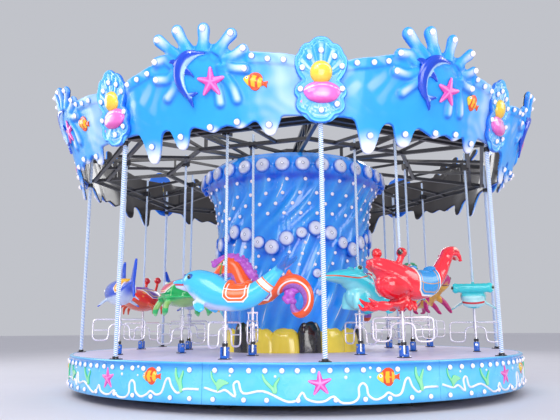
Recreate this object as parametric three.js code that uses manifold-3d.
// Fairground carousel with an under-sea theme: turning deck, eight posts, leaning canopy boards,
// open roof frame, wave-shaped centre column and sixteen animal riders on sliding poles.
// Millimetres, +Z up, origin on the floor at the turning axis, one post straight at -Y.
import * as THREE from 'three';
import { mergeVertices } from 'three/addons/utils/BufferGeometryUtils.js';
import { ConvexGeometry } from 'three/addons/geometries/ConvexGeometry.js';
import Module from 'manifold-3d';

const wasm = await Module();
wasm.setup();

// Driving dimensions
const BAYS = 8;
const BAY = 360 / BAYS;
const FACETS_PER_BAY = 6;
const GAP = 0.3;
const DECK_RADIUS = 2750;
const DECK_TOP = 442;
const DECK_THICKNESS = 45;
const FASCIA_BOTTOM = 90;
const FASCIA_THICKNESS = 30;
const POST_RING = 2710;
const POST_RADIUS = 24;
const POST_TOP = 2965;
const BOARD_FOOT = 2630;
const BOARD_LEAN = 0.2;
const BOARD_THICKNESS = 40;
const BOARD_FACE = POST_RING + POST_RADIUS + GAP + BOARD_THICKNESS;
const COLUMN_TOP = 2800;
const ROCK_GROUPS = 6;
const ROCK_STEP = 20;
const FIRST_ROCK = 7;
const OUTER_POLES = 2260;
const INNER_POLES = 1520;
const POLE_RADIUS = 16;
const POLE_FLAT = POLE_RADIUS * Math.cos(Math.PI / 6);
const POLE_HOLE = 24;
const BASE_RADIUS = 2350;
const BASE_FOOT = 40;
const FOOT_RING = 2260;
const FEET = 8;
const BASE_TOP = 120;
const BEARING_RADIUS = 420;
const BEARING_TOP = 160;
const HUB_APOTHEM = 260;
const HUB_TOP = 3085;
const BAR = 40;
const WEB = 30;
const PEDESTAL_HEIGHT = 120;

const rad = THREE.MathUtils.degToRad;

const paint = {
  frame: { color: 0x2b2c30, roughness: 0.5, metalness: 0.4 },
  deck: { color: 0xc9c9dc, roughness: 0.6, metalness: 0 },
  skyBlue: { color: 0x46b4f5, roughness: 0.25, metalness: 0 },
  deepBlue: { color: 0x1266dd, roughness: 0.25, metalness: 0 },
  post: { color: 0xe6eef8, roughness: 0.3, metalness: 0.2 },
  dolphin: { color: 0x45bdf0, roughness: 0.25, metalness: 0 },
  lobster: { color: 0xe0202c, roughness: 0.25, metalness: 0 },
  shark: { color: 0x1c3f9a, roughness: 0.25, metalness: 0 },
  hammerhead: { color: 0x28b9c4, roughness: 0.25, metalness: 0 },
  crab: { color: 0xf05a28, roughness: 0.25, metalness: 0 },
  octopus: { color: 0xc2267e, roughness: 0.25, metalness: 0 },
  seahorse: { color: 0xf0642c, roughness: 0.25, metalness: 0 },
  frog: { color: 0x2fd0d8, roughness: 0.25, metalness: 0 },
  turtle: { color: 0x2fb573, roughness: 0.25, metalness: 0 },
  fish: { color: 0xf5b21c, roughness: 0.25, metalness: 0 },
};

// Solid helpers: every piece becomes one closed body before it is shown
function toSolid(geometry) {
  const bare = geometry.clone();
  bare.deleteAttribute('normal');
  bare.deleteAttribute('uv');
  const merged = mergeVertices(bare, 0.001);
  const index = Array.from(merged.index.array);
  const kept = [];
  for (let i = 0; i < index.length; i += 3) {
    const [a, b, c] = [index[i], index[i + 1], index[i + 2]];
    if (a !== b && b !== c && a !== c) kept.push(a, b, c);
  }
  return new wasm.Manifold(new wasm.Mesh({
    numProp: 3,
    vertProperties: new Float32Array(merged.attributes.position.array),
    triVerts: new Uint32Array(kept),
  }));
}

function fuse(solids) {
  return solids.reduce((whole, next) => whole.add(next));
}

function toMesh(name, solid, finish) {
  const data = solid.getMesh();
  const geometry = new THREE.BufferGeometry();
  geometry.setAttribute('position', new THREE.BufferAttribute(new Float32Array(data.vertProperties), 3));
  geometry.setIndex(Array.from(data.triVerts));
  geometry.computeVertexNormals();
  const mesh = new THREE.Mesh(geometry, new THREE.MeshStandardMaterial(finish));
  mesh.name = name;
  return mesh;
}

function box(x0, x1, y0, y1, z0, z1) {
  const geometry = new THREE.BoxGeometry(x1 - x0, y1 - y0, z1 - z0);
  geometry.translate((x0 + x1) / 2, (y0 + y1) / 2, (z0 + z1) / 2);
  return toSolid(geometry);
}

// Upright round bar whose first corner points along Y
function drum(radius, z0, z1, sides, x = 0, y = 0) {
  const geometry = new THREE.CylinderGeometry(radius, radius, z1 - z0, sides);
  geometry.rotateX(Math.PI / 2);
  geometry.translate(x, y, (z0 + z1) / 2);
  return toSolid(geometry);
}

function hull(points) {
  return toSolid(new ConvexGeometry(points));
}

// Square bar between two points, given its width along X or across it
function bar(a, b, size) {
  const start = new THREE.Vector3(...a);
  const end = new THREE.Vector3(...b);
  const along = end.clone().sub(start).normalize();
  const side = new THREE.Vector3().crossVectors(along, new THREE.Vector3(0, 0, 1)).normalize();
  const up = new THREE.Vector3().crossVectors(side, along);
  const corners = [];
  for (const end3 of [start, end]) {
    for (const [s, u] of [[-1, -1], [1, -1], [1, 1], [-1, 1]]) {
      corners.push(end3.clone().addScaledVector(side, s * size / 2).addScaledVector(up, u * size / 2));
    }
  }
  return hull(corners);
}

// Ball squashed to three radii, with few faces
function ball(x, y, z, rx, ry, rz, around = 6, down = 4) {
  const geometry = new THREE.SphereGeometry(1, around, down);
  geometry.rotateX(Math.PI / 2);
  geometry.scale(rx, ry, rz);
  geometry.translate(x, y, z);
  return toSolid(geometry);
}

// Flat plate: an outline in X and Z with a thickness along Y
function plate(outline, y0, y1) {
  const shape = new THREE.Shape(outline.map(([x, z]) => new THREE.Vector2(x, z)));
  const geometry = new THREE.ExtrudeGeometry(shape, { depth: y1 - y0, bevelEnabled: false });
  geometry.rotateX(Math.PI / 2);
  geometry.translate(0, y1, 0);
  return toSolid(geometry);
}

// Wall on a circle about the axis, leaning outwards by lean for each unit of height above z0
function curvedWall(inner, outer, halfAngle, z0, z1, lean) {
  const facets = FACETS_PER_BAY;
  const ring = (radius, from, to) => Array.from({ length: facets + 1 }, (_, i) => {
    const angle = rad(from + (to - from) * i / facets);
    return new THREE.Vector2(radius * Math.sin(angle), -radius * Math.cos(angle));
  });
  const shape = new THREE.Shape([...ring(outer, -halfAngle, halfAngle), ...ring(inner, halfAngle, -halfAngle)]);
  const geometry = new THREE.ExtrudeGeometry(shape, { depth: z1 - z0, bevelEnabled: false });
  geometry.translate(0, 0, z0);
  const place = geometry.attributes.position;
  for (let i = 0; i < place.count; i += 1) {
    const radius = Math.hypot(place.getX(i), place.getY(i));
    const grown = (radius + lean * (place.getZ(i) - z0)) / radius;
    place.setXY(i, place.getX(i) * grown, place.getY(i) * grown);
  }
  return toSolid(geometry);
}

function turned(solid, degrees) {
  return solid.rotate([0, 0, degrees]);
}

// Base: round steel pan on feet with the bearing ring in the middle
function baseFrame() {
  const parts = [
    drum(BASE_RADIUS, BASE_FOOT, BASE_TOP, 32),
    drum(BEARING_RADIUS, BASE_TOP - 10, BEARING_TOP, 24),
    drum(300, 0, BASE_FOOT + 10, 16),
  ];
  for (let i = 0; i < FEET; i += 1) {
    const angle = 2 * Math.PI * (i + 0.5) / FEET;
    parts.push(drum(60, 0, BASE_FOOT + 10, 6, FOOT_RING * Math.sin(angle), -FOOT_RING * Math.cos(angle)));
  }
  return fuse(parts);
}

// Deck: round floor with its hub below, a hole and a two-cheek pedestal for each rider pole
function deck() {
  const rim = DECK_RADIUS - FASCIA_THICKNESS - 0.5;
  let whole = fuse([
    drum(rim, DECK_TOP - DECK_THICKNESS, DECK_TOP, BAYS * FACETS_PER_BAY),
    drum(480, BEARING_TOP + GAP, DECK_TOP - DECK_THICKNESS + 5, 24),
  ]);
  const top = DECK_TOP + PEDESTAL_HEIGHT;
  for (let k = 0; k < BAYS; k += 1) {
    for (const radius of [OUTER_POLES, INNER_POLES]) {
      const cheeks = box(-56, 56, -radius - 36, -radius + 36, DECK_TOP - 5, top)
        .subtract(box(-POLE_HOLE, POLE_HOLE, -radius - 40, -radius + 40, DECK_TOP, top + 1));
      const hole = drum(POLE_HOLE, DECK_TOP - DECK_THICKNESS - 5, DECK_TOP + 5, 6, 0, -radius);
      const angle = BAY * (k + 0.5);
      whole = whole.add(turned(cheeks, angle)).subtract(turned(hole, angle));
    }
  }
  return whole;
}

function fasciaPanel() {
  return curvedWall(DECK_RADIUS - FASCIA_THICKNESS, DECK_RADIUS, BAY / 2 - 0.004, FASCIA_BOTTOM, DECK_TOP, 0);
}

// Post: foot plate on the rim and a round tube up to the roof frame
function post() {
  const foot = box(-50, 50, -POST_RING - 34, -POST_RING + 50, DECK_TOP + GAP, DECK_TOP + 8);
  return foot.add(drum(POST_RADIUS, DECK_TOP + 4, POST_TOP, 8, 0, -POST_RING));
}

// Centre column: radius against height, with eight slow waves that twist as they climb
const columnProfile = [
  [735, 442.3], [770, 560], [850, 740], [920, 980], [950, 1300], [955, 1650], [965, 2000],
  [1000, 2300], [1075, 2450], [1165, 2560], [1190, 2630], [1150, 2720], [1085, COLUMN_TOP],
];

function columnBody() {
  const around = 32;
  const points = [[0, columnProfile[0][1]], ...columnProfile, [0, COLUMN_TOP]];
  const geometry = new THREE.LatheGeometry(points.map(([r, z]) => new THREE.Vector2(r, z)), around);
  geometry.rotateX(Math.PI / 2);
  const place = geometry.attributes.position;
  for (let i = 0; i < place.count; i += 1) {
    const [x, y, z] = [place.getX(i), place.getY(i), place.getZ(i)];
    const radius = Math.hypot(x, y);
    const inWaves = z > 500 && z < 2500 && radius > 1;
    const swell = inWaves ? 22 * Math.sin(BAYS * Math.atan2(x, -y) + z / 260) : 0;
    const grown = radius > 1 ? (radius + swell) / radius : 1;
    place.setXY(i, x * grown, y * grown);
  }
  return toSolid(geometry);
}

// Rock: an upright rounded slab leaning on the foot of the column
function rock(width, height) {
  const half = width / 2;
  const outline = [
    [-half, DECK_TOP + GAP], [half, DECK_TOP + GAP], [half, DECK_TOP + height * 0.55],
    [half * 0.5, DECK_TOP + height], [-half * 0.5, DECK_TOP + height], [-half, DECK_TOP + height * 0.55],
  ];
  return plate(outline, -900, -650);
}

// Six groups of rocks round the foot: two low ones beside each tall one
function column() {
  const rocks = [];
  for (let group = 0; group < ROCK_GROUPS; group += 1) {
    const tall = FIRST_ROCK + group * 360 / ROCK_GROUPS;
    rocks.push(turned(rock(300, 400), tall));
    for (const step of [1, 2]) rocks.push(turned(rock(380, 300), tall - step * ROCK_STEP));
  }
  return fuse([columnBody(), ...rocks]);
}

function roofHub() {
  const corner = HUB_APOTHEM / Math.cos(Math.PI / 8);
  return turned(drum(corner, COLUMN_TOP + GAP, HUB_TOP, 8), 22.5);
}

// Height of the roof frame's lower bars at a distance from the axis
function lowerChord(radius) {
  return 2668 + 0.1 * (2690 - radius);
}

// Roof sweep: flat truss from the hub to the head of a post
function roofSweep() {
  const inner = HUB_APOTHEM + GAP;
  const outer = POST_RING - POST_RADIUS - GAP;
  const upper = (radius) => 2940 + 0.05 * (2690 - radius);
  const parts = [
    bar([0, -inner, lowerChord(inner)], [0, -outer, lowerChord(outer)], BAR),
    bar([0, -inner, upper(inner)], [0, -outer, upper(outer)], BAR),
  ];
  const webs = [820, 1600, 2380];
  webs.forEach((radius, i) => {
    parts.push(box(-WEB / 2, WEB / 2, -radius - WEB / 2, -radius + WEB / 2, lowerChord(radius), upper(radius)));
    const next = webs[i + 1];
    if (next) parts.push(bar([0, -radius, lowerChord(radius)], [0, -next, upper(next)], WEB));
  });
  const within = box(-100, 100, -outer, -inner, 2000, 3400);
  return fuse(parts).intersect(within);
}

// Roof grid: three cross bars of one bay, two bars that join them and the pole guides
function roofGrid() {
  const parts = [];
  const cross = [INNER_POLES + 45, OUTER_POLES + 45, 2457];
  const heightAt = (apothem) => lowerChord(apothem / Math.cos(rad(BAY / 2)));
  for (const apothem of cross) {
    const reach = apothem * Math.tan(rad(BAY / 2)) + 60;
    const z = heightAt(apothem);
    parts.push(bar([-reach, -apothem, z], [reach, -apothem, z], BAR));
  }
  for (const x of [-290, 290]) {
    parts.push(bar([x, -cross[0], heightAt(cross[0])], [x, -cross[2], heightAt(cross[2])], WEB));
  }
  for (const [i, radius] of [INNER_POLES, OUTER_POLES].entries()) {
    const z = heightAt(cross[i]);
    for (const side of [-1, 1]) {
      const x0 = side * (POLE_FLAT + GAP + 0.1);
      const x1 = side * 40;
      parts.push(box(Math.min(x0, x1), Math.max(x0, x1), -cross[i], -radius + 38, z - 35, z + 35));
    }
  }
  const cut = (BAR / 2 + GAP) / Math.sin(rad(BAY / 2));
  const far = 3200;
  const wide = (far - cut) * Math.tan(rad(BAY / 2));
  const wedge = hull([2400, 3100].flatMap((z) => [
    new THREE.Vector3(0, -cut, z), new THREE.Vector3(-wide, -far, z), new THREE.Vector3(wide, -far, z),
  ]));
  return fuse(parts).intersect(wedge);
}

// Canopy board outline as [degrees from the left post, height], lower edge first with its drips
const boardLowerEdge = [
  [-1, BOARD_FOOT], [6.5, BOARD_FOOT], [8.4, 2380], [9.8, 2318], [11.2, 2380], [13.3, 2622], [15.2, 2560],
  [16.6, 2425], [18.8, 2425], [20.2, 2580], [21.6, 2612], [23.7, 2552], [26.8, 2608], [29.8, 2578],
  [32.4, 2630], [33.8, 2500], [35.8, 2500], [37.6, 2640], [46, 2640],
];
const boardUpperEdge = [[46, 3190], [37, 3215], [31, 3290], [15, 3290], [9, 3215], [-1, 3190]];
const splashCentre = [23, 3060];
const splashRadius = 250;
const SPLASH_DEPTH = 100;
// Splash fingers as [root, tip, radius], each end [degrees, height, how far it stands out]
const splashFingers = [
  [[17.5, 3160, 50], [13.6, 3212, 120], 46],
  [[18.5, 3190, 60], [15.2, 3402, 132], 52],
  [[20.8, 3220, 70], [19.3, 3452, 132], 54],
  [[23.8, 3210, 70], [24.3, 3414, 132], 52],
  [[26.4, 3180, 70], [29.3, 3354, 126], 47],
  [[27.8, 3110, 60], [31.3, 3210, 120], 44],
  [[18.0, 3040, 30], [13.6, 3050, 80], 43],
  [[27.8, 3050, 30], [31.0, 3030, 86], 40],
];

// A point of the board's face, seen along the middle of its bay
function onBoard(degrees, z) {
  const radius = BOARD_FACE + BOARD_LEAN * (z - BOARD_FOOT);
  return [radius * Math.sin(rad(degrees - BAY / 2)), z];
}

// The same point in space, standing out from the face
function proudOfBoard(degrees, z, out) {
  const radius = BOARD_FACE + BOARD_LEAN * (z - BOARD_FOOT) + out;
  const angle = rad(degrees - BAY / 2);
  return new THREE.Vector3(radius * Math.sin(angle), -radius * Math.cos(angle), z);
}

// Splash finger: a round-ended bar, thinner at its root
function finger([root, tip, radius]) {
  const corners = [];
  for (const [end, size] of [[root, radius * 0.85], [tip, radius]]) {
    const place = new THREE.SphereGeometry(size, 6, 3).attributes.position;
    for (let i = 0; i < place.count; i += 1) {
      corners.push(new THREE.Vector3().fromBufferAttribute(place, i).add(proudOfBoard(...end)));
    }
  }
  return hull(corners);
}

// Body of the splash: a mound that stands out from the board's face
function splashMound() {
  const corners = [];
  for (const [radius, out] of [[splashRadius, -20], [splashRadius * 0.86, SPLASH_DEPTH]]) {
    for (let i = 0; i < 12; i += 1) {
      const turn = 2 * Math.PI * (i + 0.5) / 12;
      const across = radius * Math.cos(turn) / BOARD_FACE;
      corners.push(proudOfBoard(
        splashCentre[0] + THREE.MathUtils.radToDeg(across), splashCentre[1] + radius * Math.sin(turn), out,
      ));
    }
  }
  return hull(corners);
}

// Shell medallion over a post, with a pearl above a clam
const medallionHalf = [
  [110, 3298], [185, 3270], [226, 3194], [262, 3110], [232, 3010], [197, 2930], [255, 2875],
  [262, 2800], [215, 2760], [245, 2690], [195, 2610], [135, 2590], [75, 2518],
];

function medallion() {
  const mirrored = medallionHalf.map(([x, z]) => [-x, z]).reverse();
  const outline = [[0, 3361], ...medallionHalf, ...mirrored];
  const back = -BOARD_FACE - 0.5;
  const parts = [
    plate(outline.reverse(), back - 55, back),
    box(2, 60, back - 20, back + 22, 2700, 3100),
    ball(0, back - 55, 3010, 109, 45, 109, 8, 4),
    ball(0, back - 55, 2810, 186, 45, 110, 8, 4),
  ];
  const lean = [1, 0, 0, 0, 0, 1, 0, 0, 0, -BOARD_LEAN, 1, 0, 0, BOARD_LEAN * BOARD_FOOT, 0, 1];
  return fuse(parts).transform(lean);
}

function canopyBoard() {
  const outline = plate([...boardLowerEdge, ...boardUpperEdge].map(([a, z]) => onBoard(a, z)), -3400, -2400);
  const foot = 2250;
  const outer = BOARD_FACE + BOARD_LEAN * (foot - BOARD_FOOT);
  const wall = curvedWall(outer - BOARD_THICKNESS, outer, BAY / 2 - 0.004, foot, 3700, BOARD_LEAN);
  const splash = fuse([splashMound(), ...splashFingers.map(finger)]);
  return wall.intersect(outline).add(splash).add(turned(medallion(), -BAY / 2));
}

// Rider body: one skin over rings of [x, height, half width, half height].
// X runs along the ride, with the head at -X, and Y towards the axis.
function spine(stations, sides = 8) {
  const last = stations.length - 1;
  const geometry = new THREE.CylinderGeometry(1, 1, last, sides, last);
  const place = geometry.attributes.position;
  for (let i = 0; i < place.count; i += 1) {
    const ring = Math.round(place.getY(i) + last / 2);
    const [x, z, wide, tall] = stations[ring];
    const before = stations[Math.max(ring - 1, 0)];
    const after = stations[Math.min(ring + 1, last)];
    const along = Math.atan2(after[1] - before[1], after[0] - before[0]);
    const lift = tall * place.getX(i);
    place.setXYZ(i, x - lift * Math.sin(along), wide * place.getZ(i), z + lift * Math.cos(along));
  }
  return toSolid(geometry);
}

// Fin that stands up or hangs down in the plane of the ride
function fin(outline, y, thickness) {
  return plate(outline, y - thickness / 2, y + thickness / 2);
}

// Pair of flat limbs, one on each side, from the body out to a tip
function limbs(x, z, reach, tipX, tipZ, wide, y0 = 60) {
  const parts = [];
  for (const side of [-1, 1]) {
    const corners = [];
    for (const dx of [-wide / 2, wide / 2]) {
      for (const dz of [-16, 16]) {
        corners.push(new THREE.Vector3(x + dx, side * y0, z + dz));
        corners.push(new THREE.Vector3(tipX + dx * 0.45, side * reach, tipZ + dz * 0.6));
      }
    }
    parts.push(hull(corners));
  }
  return parts;
}

const designs = {
  dolphin: () => [
    spine([[-558, 1160, 26, 16], [-470, 1166, 55, 36], [-435, 1175, 100, 88], [-340, 1155, 140, 142],
      [-180, 1095, 150, 168], [0, 1030, 144, 136], [170, 1030, 124, 120], [310, 1085, 92, 92],
      [410, 1165, 66, 68], [500, 1245, 46, 48], [590, 1335, 26, 28]]),
    ...limbs(560, 1310, 170, 640, 1370, 130, 0),
    ...limbs(-230, 1010, 210, -170, 885, 120),
  ],
  lobster: () => [
    spine([[-385, 1310, 30, 24], [-290, 1300, 95, 66], [-150, 1230, 130, 130], [10, 1150, 150, 165],
      [190, 1105, 145, 150], [350, 1130, 130, 120], [480, 1230, 100, 88], [560, 1340, 80, 70],
      [630, 1450, 80, 60], [710, 1500, 120, 40], [820, 1420, 130, 16]]),
    spine([[-95, 1260, 28, 28], [-48, 1400, 26, 26]], 6).translate([0, -88, 0]),
    spine([[-270, 1310, 28, 28], [-236, 1400, 26, 26]], 6).translate([0, 66, 0]),
    ball(-45, -88, 1412, 52, 52, 52), ball(-233, 66, 1412, 52, 52, 52),
    ...limbs(-40, 1000, 190, -150, 920, 90), ball(10, 0, 915, 100, 130, 75),
    ...[-1, 1].map((s) => fin([[-470, 955], [-440, 870], [-340, 840], [-150, 870], [-105, 930], [-290, 925],
      [-410, 965]], s * 180, 60)),
  ],
  shark: () => [
    spine([[-580, 1060, 20, 18], [-460, 1085, 85, 70], [-260, 1095, 135, 130], [0, 1090, 150, 150],
      [230, 1095, 115, 115], [420, 1130, 62, 66], [550, 1170, 30, 34]]),
    fin([[-120, 1200], [120, 1180], [170, 1430], [90, 1380]], 0, 36),
    fin([[480, 1120], [560, 1150], [650, 990], [640, 1180], [700, 1430], [600, 1340], [500, 1200]], 0, 30),
    ...limbs(-180, 1030, 255, -60, 930, 150),
  ],
  hammerhead: () => [
    spine([[-520, 1110, 130, 50], [-400, 1100, 130, 90], [-230, 1095, 140, 130], [0, 1090, 150, 150],
      [230, 1095, 115, 115], [420, 1130, 62, 66], [550, 1170, 30, 34]]),
    box(-590, -480, -250, 250, 1130, 1225),
    fin([[-60, 1200], [120, 1190], [150, 1400], [90, 1360]], 0, 36),
    fin([[480, 1120], [560, 1150], [640, 1010], [640, 1180], [700, 1400], [600, 1320], [500, 1200]], 0, 30),
    ...limbs(-180, 1010, 280, -60, 930, 140),
  ],
  crab: () => [
    spine([[-330, 1120, 90, 60], [-220, 1120, 220, 120], [0, 1110, 260, 165], [220, 1120, 220, 130],
      [340, 1130, 90, 60]]),
    ...[-1, 1].map((s) => spine([[-190, 1200, 22, 22], [-230, 1380, 22, 22]], 6).translate([0, s * 90, 0])),
    ball(-232, -90, 1400, 48, 48, 48), ball(-232, 90, 1400, 48, 48, 48),
    ...[-1, 1].map((s) => fin([[-540, 1180], [-470, 1040], [-330, 1010], [-250, 1080], [-330, 1170], [-430, 1130]],
      s * 190, 70)),
    ...limbs(-60, 1020, 280, -90, 900, 70), ...limbs(130, 1020, 280, 170, 900, 70),
  ],
  octopus: () => [
    spine([[-420, 1330, 60, 60], [-330, 1350, 140, 130], [-190, 1310, 160, 150], [-60, 1200, 140, 130],
      [100, 1110, 150, 130], [280, 1090, 130, 110], [400, 1130, 80, 70], [500, 1220, 50, 46], [560, 1330, 34, 32]]),
    ...limbs(-90, 1130, 230, -200, 900, 90), ...limbs(100, 1040, 240, 60, 890, 90),
    ...limbs(280, 1040, 230, 330, 900, 90),
  ],
  seahorse: () => [
    spine([[-450, 1288, 32, 28], [-400, 1338, 42, 44], [-335, 1392, 66, 70], [-262, 1415, 84, 86],
      [-190, 1350, 86, 92], [-145, 1250, 98, 102], [-80, 1130, 126, 122], [50, 1035, 135, 122],
      [190, 1035, 112, 104], [300, 1105, 96, 92], [395, 1180, 88, 86], [490, 1190, 80, 84],
      [585, 1130, 68, 66], [632, 1020, 56, 54], [610, 905, 48, 46], [530, 842, 42, 42], [445, 885, 40, 40]]),
    fin([[-460, 1480], [-390, 1535], [-290, 1575], [-190, 1560], [-90, 1490], [-10, 1390], [35, 1290],
      [-60, 1200], [-160, 1400], [-300, 1450], [-420, 1420]], 0, 90),
  ],
  frog: () => [
    spine([[-470, 1262, 70, 26], [-380, 1270, 130, 52], [-240, 1275, 152, 84], [-110, 1262, 156, 105],
      [10, 1205, 162, 135], [100, 1120, 166, 165], [200, 1060, 160, 150], [320, 1010, 130, 110], [430, 970, 70, 60]]),
    ball(-45, -85, 1365, 42, 40, 42), ball(-45, 85, 1365, 42, 40, 42), ball(-20, 0, 1050, 145, 165, 140),
    ...limbs(-40, 1020, 200, -110, 900, 110), ...limbs(250, 970, 230, 340, 890, 110),
  ],
  turtle: () => [
    spine([[-330, 1120, 130, 60], [-200, 1130, 230, 130], [0, 1140, 260, 165], [210, 1130, 220, 130],
      [330, 1110, 120, 50]]),
    spine([[-250, 1140, 60, 60], [-380, 1190, 60, 58], [-450, 1260, 78, 70], [-520, 1270, 44, 40]]),
    spine([[280, 1120, 40, 34], [400, 1220, 34, 30], [450, 1340, 40, 30]], 6),
    ...limbs(-190, 1060, 300, -260, 900, 130), ...limbs(170, 1060, 295, 230, 900, 120),
  ],
  fish: () => [
    spine([[-480, 1130, 40, 40], [-400, 1140, 100, 110], [-240, 1140, 140, 180], [-40, 1130, 150, 210],
      [170, 1120, 120, 180], [330, 1130, 70, 90], [420, 1150, 34, 50]]),
    fin([[-230, 1290], [140, 1270], [230, 1380], [60, 1470], [-120, 1440]], 0, 40),
    fin([[370, 1120], [600, 950], [560, 1150], [620, 1360], [380, 1200]], 0, 36),
    ...limbs(-120, 1060, 230, -20, 950, 130),
  ],
};

// Foot frame: a cross bar with a loop for each foot
function footFrame(turn) {
  const [top, bottom, inside, outside, tube] = [790, 550, 105, 300, 16];
  const corner = 50;
  const outer = [
    [inside, top], [inside, bottom + corner], [inside + corner, bottom], [outside - corner, bottom],
    [outside, bottom + corner], [outside, top],
  ];
  const hole = [
    [inside + tube, top - tube], [inside + tube, bottom + corner], [outside - tube, bottom + corner],
    [outside - tube, top - tube],
  ];
  const loop = plate(outer, -tube / 2, tube / 2).subtract(plate(hole, -tube, tube));
  const crossBar = box(-inside - 1, inside + 1, -tube / 2, tube / 2, top - tube, top);
  return turned(fuse([crossBar, loop, turned(loop, 180)]), 90 + turn);
}

// The foot frame turns with the pole clamp, so each rider states its angle; lift is its height in the stroke
const riders = [
  ['outer', 0, 'lobster', 40, 45],
  ['outer', 1, 'hammerhead', 0, 0],
  ['outer', 2, 'octopus', 30, 0],
  ['outer', 3, 'turtle', 0, 0],
  ['outer', 4, 'fish', 30, 0],
  ['outer', 5, 'crab', 20, 0],
  ['outer', 6, 'shark', 50, 0],
  ['outer', 7, 'dolphin', 0, -8],
  ['inner', 0, 'frog', 0, 0],
  ['inner', 1, 'fish', 40, 0],
  ['inner', 2, 'seahorse', 0, 0],
  ['inner', 3, 'dolphin', 40, 0],
  ['inner', 4, 'frog', 0, 0],
  ['inner', 5, 'shark', 40, 0],
  ['inner', 6, 'turtle', 0, 0],
  ['inner', 7, 'seahorse', 20, 10],
];

function rider(design, lift, turn) {
  const pole = drum(POLE_RADIUS, 290, 2880, 6);
  return fuse([...designs[design](), footFrame(turn), pole]).translate([0, 0, lift]);
}

const carousel = new THREE.Group();
carousel.add(toMesh('base_frame', baseFrame(), paint.frame));
carousel.add(toMesh('deck', deck(), paint.deck));
carousel.add(toMesh('centre_column', column(), paint.deepBlue));
carousel.add(toMesh('roof_hub', roofHub(), paint.frame));

for (let k = 0; k < BAYS; k += 1) {
  const number = k + 1;
  const atPost = BAY * k;
  const atBay = BAY * (k + 0.5);
  carousel.add(toMesh(`fascia_panel_${number}`, turned(fasciaPanel(), atPost), paint.skyBlue));
  carousel.add(toMesh(`post_${number}`, turned(post(), atPost), paint.post));
  carousel.add(toMesh(`roof_sweep_${number}`, turned(roofSweep(), atPost), paint.frame));
  carousel.add(toMesh(`roof_grid_${number}`, turned(roofGrid(), atBay), paint.frame));
  carousel.add(toMesh(`canopy_board_${number}`, turned(canopyBoard(), atBay), paint.skyBlue));
}

for (const [row, bay, design, lift, turn] of riders) {
  const radius = row === 'outer' ? OUTER_POLES : INNER_POLES;
  const placed = turned(rider(design, lift, turn).translate([0, -radius, 0]), BAY * (bay + 0.5));
  carousel.add(toMesh(`${design}_${row}_${bay + 1}`, placed, paint[design]));
}

export default carousel;
